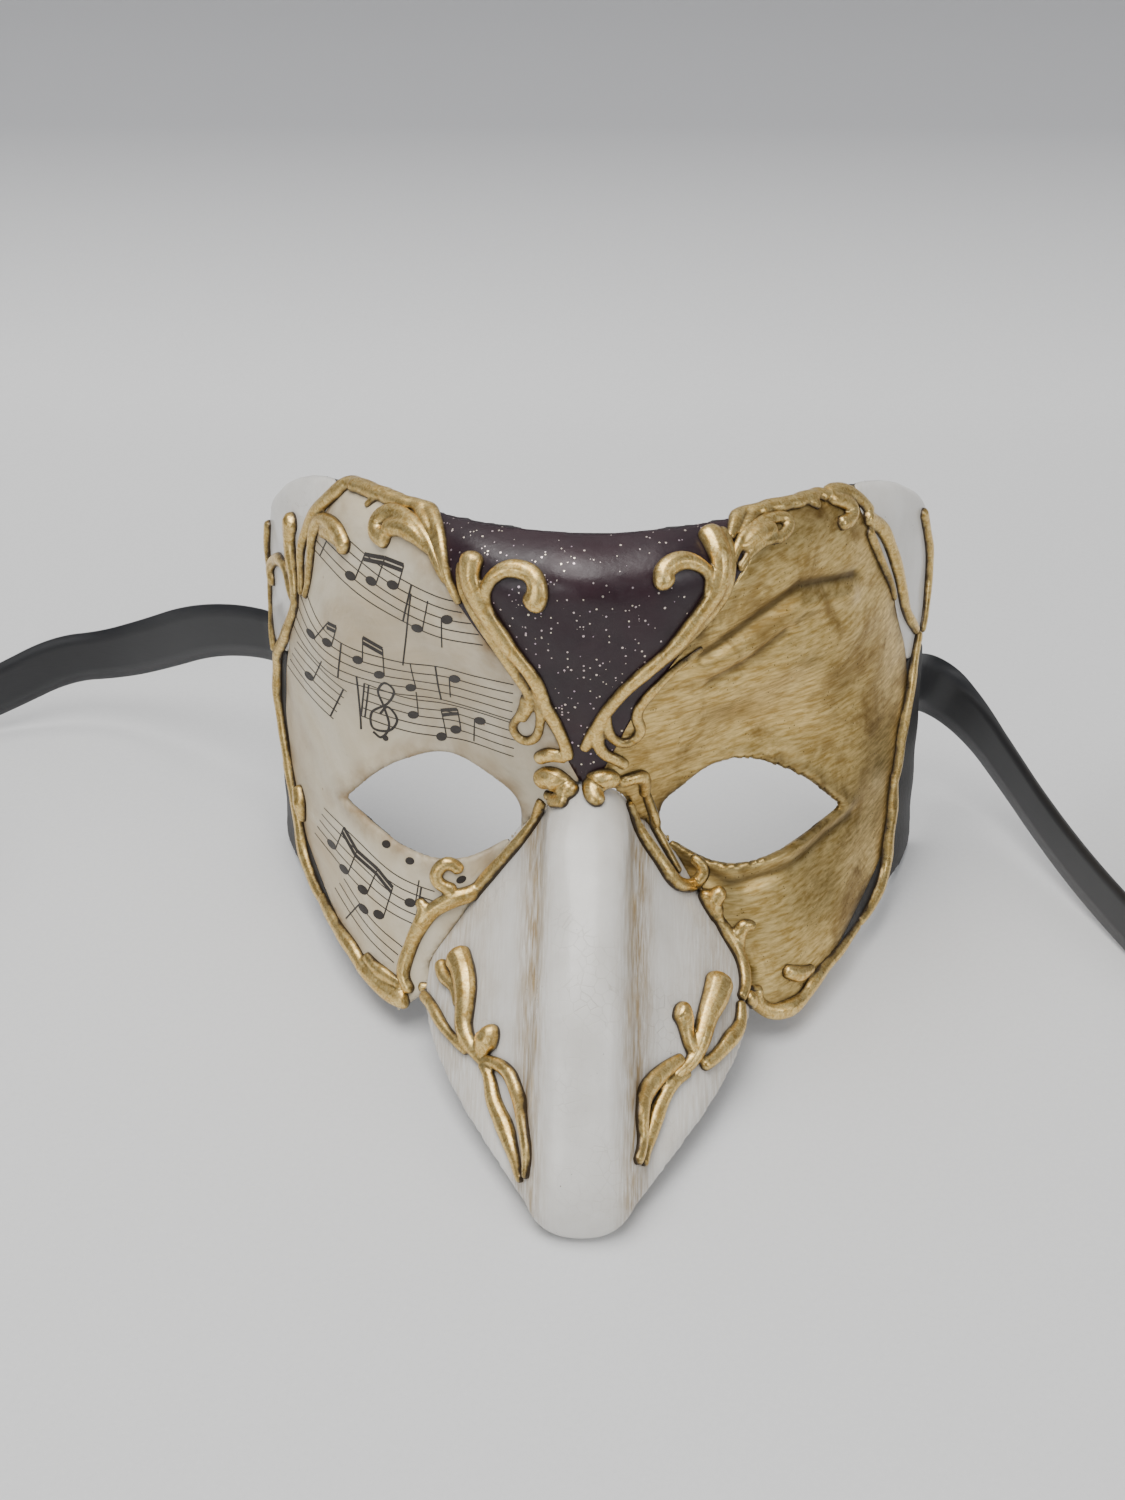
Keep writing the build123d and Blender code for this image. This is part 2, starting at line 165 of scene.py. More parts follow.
class Shader:
    """A node tree being built: node() adds one node, and inputs may be values or other nodes' outputs."""

    def __init__(self, name):
        self.material = bpy.data.materials.new(name)
        self.material.use_nodes = True
        self.tree = self.material.node_tree
        self.surface = self.tree.nodes["Principled BSDF"]
        self.place = self.node("ShaderNodeTexCoord").outputs["Object"]

    def fill(self, socket, value):
        if isinstance(value, bpy.types.NodeSocket):
            self.tree.links.new(value, socket)
        else:
            socket.default_value = value

    def node(self, kind, inputs=None, **settings):
        made = self.tree.nodes.new(kind)
        for key, value in settings.items():
            setattr(made, key, value)
        for key, value in (inputs or {}).items():
            self.fill(made.inputs[key], value)
        return made

    def noise(self, scale, detail=3, rough=0.55, stretch=None, distortion=0):
        place = self.place
        if stretch:
            place = self.node("ShaderNodeMapping", {"Vector": place, "Scale": stretch}).outputs["Vector"]
        inputs = {"Vector": place, "Scale": scale, "Detail": detail, "Roughness": rough, "Distortion": distortion}
        return self.node("ShaderNodeTexNoise", inputs).outputs["Fac"]

    def cells(self, scale, feature="F1", output="Distance"):
        inputs = {"Vector": self.place, "Scale": scale}
        return self.node("ShaderNodeTexVoronoi", inputs, feature=feature).outputs[output]

    def attribute(self, name):
        return self.node("ShaderNodeAttribute", attribute_name=name).outputs["Fac"]

    def math(self, operation, a, b=0.0, clamp=False):
        made = self.node("ShaderNodeMath", operation=operation, use_clamp=clamp)
        self.fill(made.inputs[0], a)
        self.fill(made.inputs[1], b)
        return made.outputs[0]

    def ramp(self, value, low, high, start=0.0, end=1.0):
        inputs = {"Value": value, "From Min": low, "From Max": high, "To Min": start, "To Max": end}
        return self.node("ShaderNodeMapRange", inputs).outputs["Result"]

    def mix(self, factor, a, b):
        made = self.node("ShaderNodeMix", data_type="RGBA")
        self.fill(made.inputs[0], factor)
        self.fill(made.inputs[6], a)
        self.fill(made.inputs[7], b)
        return made.outputs[2]

    def bump(self, height, strength, distance=0.0005):
        inputs = {"Height": height, "Strength": strength, "Distance": distance}
        return self.node("ShaderNodeBump", inputs).outputs["Normal"]

    def done(self, **inputs):
        for key, value in inputs.items():
            self.fill(self.surface.inputs[key.replace("_", " ")], value)
        return self.material


def colour(red, green, blue):
    return (red, green, blue, 1)


# %% [markdown]
# A pale sheet of card sweeps up behind the mask, and a wide soft light hangs over it, so the gilt carries long quiet
# highlights and the black ribbons cast soft shadows.

# %% Table, backdrop and lights
card = Shader("card")
grain = card.noise(900, 2)
pale = card.mix(grain, colour(0.74, 0.74, 0.735), colour(0.80, 0.80, 0.795))
# Painted shade: the card's colour darkens from pale to grey as it rises behind the mask, standing in for the light
# falling off up the sweep.
rise = card.ramp(card.node("ShaderNodeSeparateXYZ", {"Vector": card.place}).outputs["Z"], 0.004, 0.07)
card_material = card.done(Base_Color=card.mix(rise, pale, colour(0.40, 0.40, 0.41)), Roughness=0.75)
bm = bmesh.new()
profile = [(-1.6, 0), (0.25, 0)] + [
    (0.25 + 0.12 * math.sin(math.radians(a)), 0.12 - 0.12 * math.cos(math.radians(a))) for a in range(6, 85, 6)
] + [(0.38, 1.6)]
rows = [[bm.verts.new((side, y, z - 0.0002)) for y, z in profile] for side in (-1.8, 1.8)]
for left_pair, right_pair in zip(zip(rows[0], rows[0][1:]), zip(rows[1], rows[1][1:])):
    bm.faces.new((left_pair[0], right_pair[0], right_pair[1], left_pair[1]))
sweep_mesh = bpy.data.meshes.new("table_sweep")
bm.to_mesh(sweep_mesh)
bm.free()
sweep_mesh.polygons.foreach_set("use_smooth", [True] * len(sweep_mesh.polygons))
sweep_mesh.materials.append(card_material)
sweep = new_object("table_sweep", sweep_mesh)


def area_light(name, place, target, size, power, tint=(1, 1, 1)):
    data = bpy.data.lights.new(name, "AREA")
    data.shape = "RECTANGLE"
    data.size, data.size_y = size
    data.energy = power
    data.color = tint
    light = bpy.data.objects.new(name, data)
    bpy.context.collection.objects.link(light)
    aim = (Vector(target) - Vector(place)).to_track_quat("-Z", "Y")
    light.matrix_world = Matrix.Translation(place) @ aim.to_matrix().to_4x4()
    return light


key = area_light("key_light", (-0.15, -0.05, 1.15), (0, 0, 0.04), (1.0, 0.7), 15, (1, 0.99, 0.97))
side_light = area_light("side_light", (1.0, -0.7, 0.7), (0, 0, 0.05), (0.6, 0.6), 3.5)
front_light = area_light("front_light", (-0.7, -1.0, 0.55), (0, 0, 0.04), (0.7, 0.5), 3.0)
world = bpy.data.worlds.new("studio")
bpy.context.scene.world = world
world.use_nodes = True
world.node_tree.nodes["Background"].inputs["Color"].default_value = (0.85, 0.9, 1, 1)
world.node_tree.nodes["Background"].inputs["Strength"].default_value = 0.32
print("stage set")

# %% [markdown]
# Two black satin ribbons are glued inside the temples. Each is woven flat, stands on its edge where it leaves the mask,
# turns down onto the table and runs out of sight into one loose loop, as a cut length of 450 mm does.

# %% Ribbons
RIBBON_WIDTH, RIBBON_LENGTH = 0.015, 0.45
right_route = [(74.5, 57, 47), (79, 69, 41), (87, 74, 34), (96, 70, 27), (104, 59, 20), (111, 46, 15), (119, 31, 11)]
right_route += [(127, 16, 9), (136, 0, 7.5)]
left_route = [(-74.5, 59, 51), (-78.5, 70, 50), (-90, 77, 48), (-104, 85, 42), (-118, 93, 32), (-132, 99, 24)]
left_route += [(-147, 101, 21), (-163, 97, 14), (-179, 91, 9), (-196, 84, 8), (-214, 77, 7.5), (-238, 66, 7.5)]


def with_loop(points, turn):
    """The route in metres, carried on into a loose flat loop until it has the ribbon's whole length."""
    route = [Vector(p) * MM for p in points]
    heading = (route[-1] - route[-2]).normalized()
    inwards = Vector((-heading.y, heading.x, 0)).normalized() * turn
    centre = route[-1] + inwards * 0.057
    spoke = route[-1] - centre
    steps = 0
    while sum((b - a).length for a, b in zip(route, route[1:])) < RIBBON_LENGTH:
        steps += 1
        shrink = 1 - steps * 0.4 / 57
        route.append(centre + Matrix.Rotation(turn * steps * math.radians(24), 3, "Z") @ spoke * shrink)
    return route


satin = Shader("ribbon_satin")
weave = satin.noise(1, 2, stretch=(250, 250, 9000))
satin_material = satin.done(
    Base_Color=satin.mix(weave, colour(0.006, 0.006, 0.007), colour(0.02, 0.02, 0.022)),
    Roughness=0.42, Normal=satin.bump(weave, 0.25, 0.0001),
)
satin.surface.inputs["Sheen Weight"].default_value = 0.2
satin.surface.inputs["Sheen Roughness"].default_value = 0.4


def make_ribbon(name, route, twist):
    """A flat strip on the line of a smooth spline; twist gives the lean of its width at shares of its length."""
    curve = bpy.data.curves.new(name + "_line", "CURVE")
    curve.dimensions = "3D"
    curve.resolution_u = 16
    spline = curve.splines.new("NURBS")
    spline.points.add(len(route) - 1)
    for point, place in zip(spline.points, route):
        point.co = (*place, 1)
    spline.order_u = 3
    spline.use_endpoint_u = True
    helper = new_object(name + "_line", curve)
    bpy.context.view_layer.update()
    line_mesh = bpy.data.meshes.new_from_object(helper.evaluated_get(bpy.context.evaluated_depsgraph_get()))
    line = [v.co.copy() for v in line_mesh.vertices]
    bpy.data.objects.remove(helper)
    runs = [0]
    for a, b in zip(line, line[1:]):
        runs.append(runs[-1] + (b - a).length)
    bm = bmesh.new()
    rows = []
    for i, place in enumerate(line):
        along = (line[min(i + 1, len(line) - 1)] - line[max(i - 1, 0)]).normalized()
        side = along.cross(Vector((0, 0, 1))).normalized()
        rise = side.cross(along)
        share = runs[i] / runs[-1]
        lean = math.radians(np.interp(share, [t[0] for t in twist], [t[1] for t in twist]))
        width = (rise * math.cos(lean) + side * math.sin(lean)) * RIBBON_WIDTH / 2
        thick = width.cross(along).normalized() * 0.00025
        rows.append([bm.verts.new(place + width * w + thick * t) for w, t in
                     ((-1, -1), (-0.5, -1), (0, -1), (0.5, -1), (1, -1), (1, 1), (0.5, 1), (0, 1), (-0.5, 1), (-1, 1))])
    for a, b in zip(rows, rows[1:]):
        for j in range(10):
            bm.faces.new((a[j], a[(j + 1) % 10], b[(j + 1) % 10], b[j]))
    bm.faces.new(rows[0])
    bm.faces.new(list(reversed(rows[-1])))
    bmesh.ops.recalc_face_normals(bm, faces=bm.faces)
    ribbon = piece_from(bm, name, satin_material, (name.replace("_satin", ""),))
    print(name, "length", round(runs[-1], 3))
    return ribbon


make_ribbon("right_ribbon_satin", with_loop(right_route, 1), [(0, 0), (1, 0)])
make_ribbon("left_ribbon_satin", with_loop(left_route, 1), [(0, 0), (1, 0)])

# %% [markdown]
# The mask is moulded: wet paper pulp pressed into a plaster form. The shell here is the CAD shell with its facets welded
# into one even skin, and hand work added: a swollen brow, a lip round the gilded eye and two scored folds.

# %% The moulded shell
EYE_EDGE = [(15, -11), (20, -3), (29, 2), (40, 0), (51, -7), (59, -15), (45, -20.5), (31, -22.5), (20, -19)]
CENTRE_EDGE = [(39, 61), (30, 46), (19, 32), (10, 19), (4, 6), (0, -2)]
BORDER_DEPTH = [(-60, 8), (-56, 12), (-45, 27), (-32, 48), (-16, 55), (0, 54), (15, 48), (27, 41), (36, 37), (46, 31), (56, 25), (62, 30)]
TEMPLE_FOOT = 15


def line_distance(x, y, points, closed=False):
    """How far the points (x, y) lie from a broken line."""
    points = list(points) + ([points[0]] if closed else [])
    best = np.full(len(x), 1e9)
    for (ax, ay), (bx, by) in zip(points, points[1:]):
        vx, vy = bx - ax, by - ay
        t = np.clip(((x - ax) * vx + (y - ay) * vy) / (vx * vx + vy * vy), 0, 1)
        best = np.minimum(best, np.hypot(x - ax - t * vx, y - ay - t * vy))
    return best


def border_gap(depth, height):
    """How far a point lies behind the side border; less than nothing in front of it."""
    heights, depths = zip(*BORDER_DEPTH)
    return depth - np.interp(height, heights, depths)


def centre_half(height):
    """The half width of the dark panel at a height."""
    widths, heights = zip(*reversed(CENTRE_EDGE))
    return np.where(height < -2, -1.0, np.interp(height, heights, widths))


def fold(x, height, points, reach, lift):
    """A rounded ridge of some lift along a line, or a groove where the lift is negative."""
    distance = line_distance(x, height, points)
    return lift * np.exp(-((distance / reach) ** 2))


shell_mesh = remeshed([nodes["face_shell"].data], 0.0008, 3)
place = coordinates_of(shell_mesh)
facing = normals_of(shell_mesh)
x, depth, height = worn_arrays(place)
_, ahead, _ = worn_arrays(place + facing * MM)
outwards = (facing[:, 0] * x + (ahead - depth) * (depth - 62)) / np.hypot(x, depth - 62)
outer = spread_over(shell_mesh, np.clip((outwards - 0.2) / 0.3, 0, 1), 3)
eye = line_distance(np.abs(x), height, EYE_EDGE, closed=True)
lift = np.zeros(len(x))
lift += 0.7 * np.exp(-((eye / 2.2) ** 2)) * (x > 0)
lift += fold(x, height, [(24, 31), (33, 36), (45, 43), (58, 42)], 1.6, -1.0)
lift += fold(x, height, [(26, 24), (33, 27), (42, 33)], 1.5, -0.8)
lift += fold(x, height, [(25, 27.5), (34, 31), (45, 38), (56, 38)], 2.4, 1.1)
lift += fold(x, height, [(30, 19), (38, 23), (50, 30), (60, 30)], 4.5, 1.0)
lift += fold(x, height, [(20, -22), (32, -26), (46, -24), (60, -18)], 2.2, -0.7)
lift += fold(x, height, [(-24, 30), (-38, 38), (-54, 36)], 6, 0.9)
lift += fold(x, height, [(-26, 20), (-40, 24), (-58, 18)], 4, 0.4)
lift += 0.25 * np.sin(x * 0.31 + height * 0.17) * np.sin(height * 0.23 - depth * 0.19)
place += facing * (lift * outer * MM)[:, None]
shell_mesh.vertices.foreach_set("co", place.astype(np.float32).ravel())
shell_mesh.update()
print("shell", len(shell_mesh.vertices), "vertices")

# %% [markdown]
# The beak is built over the nose opening as a second casting and joined with glue and filler.

# %% The beak
beak_mesh = remeshed([nodes["beak_shell"].data], 0.0007, 4)
beak_place = coordinates_of(beak_mesh)
bx, beak_depth, beak_height = worn_arrays(beak_place)
hollow = np.exp(-(((np.abs(bx) - 11) / 2.2) ** 2)) * np.clip((-beak_height - 8) / 20, 0, 1) * np.clip((72 + beak_height) / 14, 0, 1)
beak_place -= normals_of(beak_mesh) * (hollow * 0.5 * MM)[:, None]
beak_mesh.vertices.foreach_set("co", beak_place.astype(np.float32).ravel())
beak_mesh.update()
beak_x = bx
print("beak", len(beak_mesh.vertices), "vertices")


def tree_of(*meshes):
    """A search tree of the meshes' triangles."""
    points, faces = [], []
    for mesh in meshes:
        start = len(points)
        points += [v.co.copy() for v in mesh.vertices]
        faces += [tuple(start + i for i in p.vertices) for p in mesh.polygons]
    return BVHTree.FromPolygons(points, faces)


surface_tree = tree_of(shell_mesh, beak_mesh)


def on_surface(point):
    """The nearest point of the outside of the mask, and its direction outwards."""
    spot, normal, _, _ = surface_tree.find_nearest(point)
    away = point - worn(0, 62, worn_height(point))
    if normal.dot(away) < 0:
        spot, normal, _, _ = surface_tree.ray_cast(point + away.normalized() * 0.02, -away.normalized())
        if spot is None:
            spot, normal, _, _ = surface_tree.find_nearest(point)
    return spot, normal


def worn_height(point):
    """How high a point is on the worn mask, in millimetres."""
    return (point.y / MM - NOSE_ROOT_DEPTH) * math.sin(LEAN) + (point.z / MM - NOSE_ROOT_HEIGHT) * math.cos(LEAN)


# %% [markdown]
# The face is finished in fields: dark glittered lacquer in the middle, a sheet of old printed music pasted on one side,
# brushed metal leaf laid over coloured size on the other, pearl white at the temples and black along the sides.

# %% Finishes
black = Shader("papier_mache")
pulp = black.noise(700, 4)
black_material = black.done(Base_Color=black.mix(pulp, colour(0.012, 0.011, 0.011), colour(0.035, 0.032, 0.03)), Roughness=0.6,
                            Normal=black.bump(pulp, 0.35, 0.0003))

lacquer = Shader("dark_lacquer")
flake = lacquer.node("ShaderNodeTexVoronoi", {"Vector": lacquer.place, "Scale": 1500})
pick = lacquer.node("ShaderNodeSeparateColor", {"Color": flake.outputs["Color"]})
density = lacquer.ramp(lacquer.noise(45, 3), 0.35, 0.72, 0.97, 0.78)
glint = lacquer.math("MULTIPLY", lacquer.math("GREATER_THAN", pick.outputs[0], density),
                     lacquer.math("LESS_THAN", flake.outputs["Distance"], lacquer.ramp(pick.outputs[1], 0, 1, 0.18, 0.42)))
fleck_colour = lacquer.mix(pick.outputs[2], colour(0.55, 0.42, 0.5), colour(0.9, 0.8, 0.62))
cloud = lacquer.noise(30, 4)
base = lacquer.mix(lacquer.ramp(cloud, 0.35, 0.65), colour(0.008, 0.0035, 0.006), colour(0.03, 0.009, 0.014))
lacquer_material = lacquer.done(Base_Color=lacquer.mix(glint, base, fleck_colour), Metallic=glint,
                                Roughness=lacquer.ramp(lacquer.noise(400, 3), 0.3, 0.7, 0.28, 0.45),
                                Normal=lacquer.bump(lacquer.noise(900, 3), 0.25, 0.0002))

paper = Shader("music_paper")
fibre = paper.noise(1100, 3)
stain = paper.noise(22, 5, 0.65, distortion=1.2)
edge_dirt = paper.ramp(paper.attribute("edge"), 0, 7, 1, 0)
ivory = paper.mix(paper.ramp(stain, 0.4, 0.72), colour(0.70, 0.62, 0.46), colour(0.50, 0.38, 0.22))
ivory = paper.mix(paper.math("MULTIPLY", edge_dirt, paper.ramp(paper.noise(160, 4), 0.3, 0.7)), ivory, colour(0.30, 0.19, 0.08))
foxing = paper.ramp(paper.cells(260), 0.05, 0.12, 1, 0)
ivory = paper.mix(paper.math("MULTIPLY", foxing, paper.ramp(paper.noise(60, 2), 0.55, 0.7)), ivory, colour(0.27, 0.15, 0.06))
wrinkle = paper.math("ADD", paper.math("MULTIPLY", paper.noise(95, 4, distortion=2), 1.0), paper.math("MULTIPLY", fibre, 0.15))
paper_material = paper.done(Base_Color=ivory, Roughness=paper.ramp(stain, 0.3, 0.7, 0.34, 0.5),
                            Normal=paper.bump(wrinkle, 0.5, 0.0007))

leaf = Shader("gold_leaf")
brush = leaf.noise(1, 4, 0.6, stretch=(230, 330, 1300))
tarnish = leaf.noise(55, 5, 0.65, distortion=0.8)
speck = leaf.ramp(leaf.cells(950), 0.08, 0.2, 1, 0)
speck = leaf.math("MULTIPLY", speck, leaf.ramp(leaf.noise(240, 3), 0.5, 0.6))
gold = leaf.mix(leaf.ramp(brush, 0.35, 0.65), colour(0.42, 0.27, 0.075), colour(0.78, 0.58, 0.24))
gold = leaf.mix(leaf.ramp(tarnish, 0.5, 0.72), gold, colour(0.22, 0.13, 0.035))
gold = leaf.mix(leaf.math("MULTIPLY", leaf.ramp(leaf.attribute("edge"), 0, 5, 0.9, 0), leaf.ramp(tarnish, 0.35, 0.6)), gold, colour(0.07, 0.045, 0.02))
# Painted shade: the leaf is coloured dark along the scored folds, where the grooves fall in shade.
gold = leaf.mix(leaf.ramp(leaf.attribute("groove"), 0.1, 0.9, 0, 0.85), gold, colour(0.09, 0.055, 0.02))
gold = leaf.mix(speck, gold, colour(0.035, 0.022, 0.01))
leaf_material = leaf.done(Base_Color=gold, Metallic=0.92, Roughness=leaf.ramp(tarnish, 0.3, 0.7, 0.3, 0.5),
                          Normal=leaf.bump(leaf.math("ADD", brush, leaf.math("MULTIPLY", tarnish, 0.6)), 0.2, 0.0003))

pearl = Shader("pearl_paint")
soot = pearl.attribute("patina")
streak = pearl.noise(1, 4, 0.6, stretch=(2400, 160, 160))
rub = pearl.math("MULTIPLY", soot, pearl.ramp(streak, 0.32, 0.62))
mottle = pearl.noise(60, 5, 0.6)
white = pearl.mix(pearl.ramp(mottle, 0.4, 0.7), colour(0.78, 0.755, 0.70), colour(0.66, 0.63, 0.57))
white = pearl.mix(rub, white, colour(0.36, 0.25, 0.12))
craze = pearl.node("ShaderNodeTexVoronoi", {"Vector": pearl.place, "Scale": 380}, feature="DISTANCE_TO_EDGE").outputs["Distance"]
crack = pearl.math("MULTIPLY", pearl.ramp(craze, 0.0, 0.03, 1, 0), pearl.ramp(pearl.noise(34, 3), 0.5, 0.66))
pinhole = pearl.math("MULTIPLY", pearl.ramp(pearl.cells(420), 0.03, 0.07, 1, 0), pearl.ramp(pearl.noise(90, 2), 0.55, 0.66))
white = pearl.mix(pearl.math("MULTIPLY", crack, 0.35), white, colour(0.42, 0.36, 0.28))
white = pearl.mix(pinhole, white, colour(0.09, 0.06, 0.04))
pearl_material = pearl.done(Base_Color=white, Roughness=pearl.ramp(mottle, 0.3, 0.7, 0.26, 0.4),
                            Normal=pearl.bump(pearl.math("SUBTRACT", pearl.math("MULTIPLY", streak, 0.3), crack), 0.35, 0.0003))
pearl.surface.inputs["Coat Weight"].default_value = 0.35
pearl.surface.inputs["Coat Roughness"].default_value = 0.15

gilt = Shader("gilt_gesso")
height_of = gilt.attribute("lift")
bright = gilt.noise(1, 4, 0.6, stretch=(900, 900, 900), distortion=1.5)
wear = gilt.noise(260, 4, 0.6)
depth_of = gilt.math("ADD", height_of, gilt.math("MULTIPLY", gilt.math("SUBTRACT", wear, 0.5), 0.9))
gild = gilt.mix(gilt.ramp(bright, 0.35, 0.65), colour(0.55, 0.34, 0.09), colour(0.90, 0.68, 0.29))
gild = gilt.mix(gilt.ramp(depth_of, 0.35, 0.85, 1, 0), gild, colour(0.045, 0.028, 0.012))
hollow_dirt = gilt.ramp(gilt.attribute("bend"), -0.10, -0.02, 1, 0)
gild = gilt.mix(gilt.math("MULTIPLY", hollow_dirt, 0.85), gild, colour(0.05, 0.03, 0.012))
gilt_material = gilt.done(Base_Color=gild, Metallic=gilt.ramp(depth_of, 0.3, 0.7, 0.35, 0.95),
                          Roughness=gilt.ramp(wear, 0.3, 0.7, 0.26, 0.44), Normal=gilt.bump(wear, 0.4, 0.0003))

ink = Shader("printing_ink")
ink_material = ink.done(Base_Color=ink.mix(ink.noise(2500, 2), colour(0.012, 0.010, 0.009), colour(0.05, 0.038, 0.028)), Roughness=0.5)

cloth = Shader("patch_cloth")
cloth_material = cloth.done(Base_Color=cloth.mix(cloth.noise(2600, 2), colour(0.006, 0.006, 0.006), colour(0.03, 0.03, 0.03)), Roughness=0.9)
for patch in (nodes["left_ribbon_patch"], nodes["right_ribbon_patch"]):
    for material_slot in patch.material_slots:
        material_slot.material = cloth_material
print("finishes made")

# %% [markdown]
# Each field is a thin skin laid on the shell, trimmed along the lines where the scrolls will be glued.

# %% Skins of paper, leaf and paint
SKIN = 0.4
centre_gap = np.abs(x) - centre_half(height)
behind = border_gap(depth, height)
fields = {
    "centre_lacquer": (lambda c, b, s, h: c < 0, lacquer_material, ["centre_lacquer_panel"], "dark_lacquer"),
    "music_paper": (lambda c, b, s, h: c >= 0 and s < 0 and b < 0, paper_material, ["music_paper_panel"], "music_paper"),
    "gold_leaf": (lambda c, b, s, h: c >= 0 and s > 0 and b < 0, leaf_material, ["gold_leaf_panel"], "gold_leaf"),
    "left_temple": (lambda c, b, s, h: b >= 0 and s < 0 and h >= TEMPLE_FOOT, pearl_material, ["left_temple_panel"], "temple_pearl"),
    "right_temple": (lambda c, b, s, h: b >= 0 and s > 0 and h >= TEMPLE_FOOT, pearl_material, ["right_temple_panel"], "temple_pearl"),
    "left_side": (lambda c, b, s, h: b >= 0 and s < 0 and h < TEMPLE_FOOT, black_material, ["left_side_panel"], "side_black"),
    "right_side": (lambda c, b, s, h: b >= 0 and s > 0 and h < TEMPLE_FOOT, black_material, ["right_side_panel"], "side_black"),
}
border_distance = np.minimum(np.abs(centre_gap), np.abs(behind))
# Painted shade: how near each point lies to a scored fold, used to colour the gold leaf dark where the grooves fall in
# shade.
groove = fold(x, height, [(24, 31), (33, 36), (45, 43), (58, 42)], 1.2, 1.0)
groove = np.maximum(groove, fold(x, height, [(26, 24), (33, 27), (42, 33)], 1.1, 0.8))
groove = np.maximum(groove, fold(x, height, [(20, -22), (32, -26), (46, -24), (60, -18)], 1.6, 0.8))


def make_skin(name, inside, material, replaced):
    """The shell's outer faces in one field, lifted off it by the skin's thickness and closed at its edges."""
    bm = bmesh.new()
    bm.from_mesh(shell_mesh)
    bm.verts.ensure_lookup_table()
    gap_layer = bm.verts.layers.float.new("edge")
    groove_shade_layer = bm.verts.layers.float.new("groove")
    patina_layer = bm.verts.layers.float.new("patina")
    keep = []
    for face in bm.faces:
        i = [v.index for v in face.verts]
        if np.mean(outer[i]) > 0.3 and inside(np.mean(centre_gap[i]), np.mean(behind[i]), np.mean(x[i]), np.mean(height[i])):
            keep.append(face)
    for v in bm.verts:
        v[gap_layer] = min(border_distance[v.index], eye[v.index] * 1.3)
        v[groove_shade_layer] = groove[v.index]
        v[patina_layer] = 0.3 * math.exp(-abs(behind[v.index]) / 3)
    away = {v: Vector(facing[v.index]) for v in bm.verts}
    kept = set(keep)
    bmesh.ops.delete(bm, geom=[f for f in bm.faces if f not in kept], context="FACES")
    bmesh.ops.delete(bm, geom=[v for v in bm.verts if not v.link_faces], context="VERTS")
    rim = [(v, [e.other_vert(v) for e in v.link_edges if e.is_boundary]) for v in bm.verts if v.is_boundary]
    for _ in range(16):
        moved = [v.co * 0.4 + (near[0].co + near[1].co) * 0.3 if len(near) == 2 else v.co.copy() for v, near in rim]
        for (v, _near), spot in zip(rim, moved):
            v.co = spot
    base_faces, base_verts = bm.faces[:], bm.verts[:]
    edges = [e.verts[:] for e in bm.edges if e.is_boundary]
    twins = {v: bm.verts.new(v.co + away[v] * SKIN * MM) for v in base_verts}
    for v, twin in twins.items():
        v.co += away[v] * 0.03 * MM
        for layer in (gap_layer, groove_shade_layer, patina_layer):
            twin[layer] = v[layer]
    for face in base_faces:
        bm.faces.new([twins[v] for v in face.verts])
    for start, end in edges:
        bm.faces.new((start, end, twins[end], twins[start]))
    bmesh.ops.recalc_face_normals(bm, faces=bm.faces)
    return piece_from(bm, name, material, replaced)


for name, (inside, material, replaced, slot) in fields.items():
    make_skin(name, inside, material, replaced)

shell_mesh.polygons.foreach_set("use_smooth", [True] * len(shell_mesh.polygons))
shell_mesh.materials.clear()
shell_mesh.materials.append(black_material)
shell = new_object("face_casting", shell_mesh)
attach(shell, "root")
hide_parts("face_shell")

crest = np.clip((-beak_height - 2) / 12, 0, 1)
patina = np.exp(-(((np.abs(beak_x) - 11.5) / 3.2) ** 2)) * crest
patina = np.maximum(patina, np.clip((np.abs(beak_x) - 15) / 14, 0, 1) * 0.5 * crest)
set_attribute(beak_mesh, "patina", patina)
beak_mesh.polygons.foreach_set("use_smooth", [True] * len(beak_mesh.polygons))
beak_mesh.materials.clear()
beak_mesh.materials.append(pearl_material)
beak = new_object("beak_casting", beak_mesh)
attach(beak, "root")
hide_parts("beak_shell")

# %% [markdown]
# The scrolls are cast gesso sprigs: fat round ends, stems that taper and run together, double ridges. Each is bent onto
# the mask while soft, glued, gilded and rubbed with dark wax that stays in its hollows. Stroke by stroke: the radius at
# the start, middle and end, then points on the worn mask as (across, back, up) in millimetres.

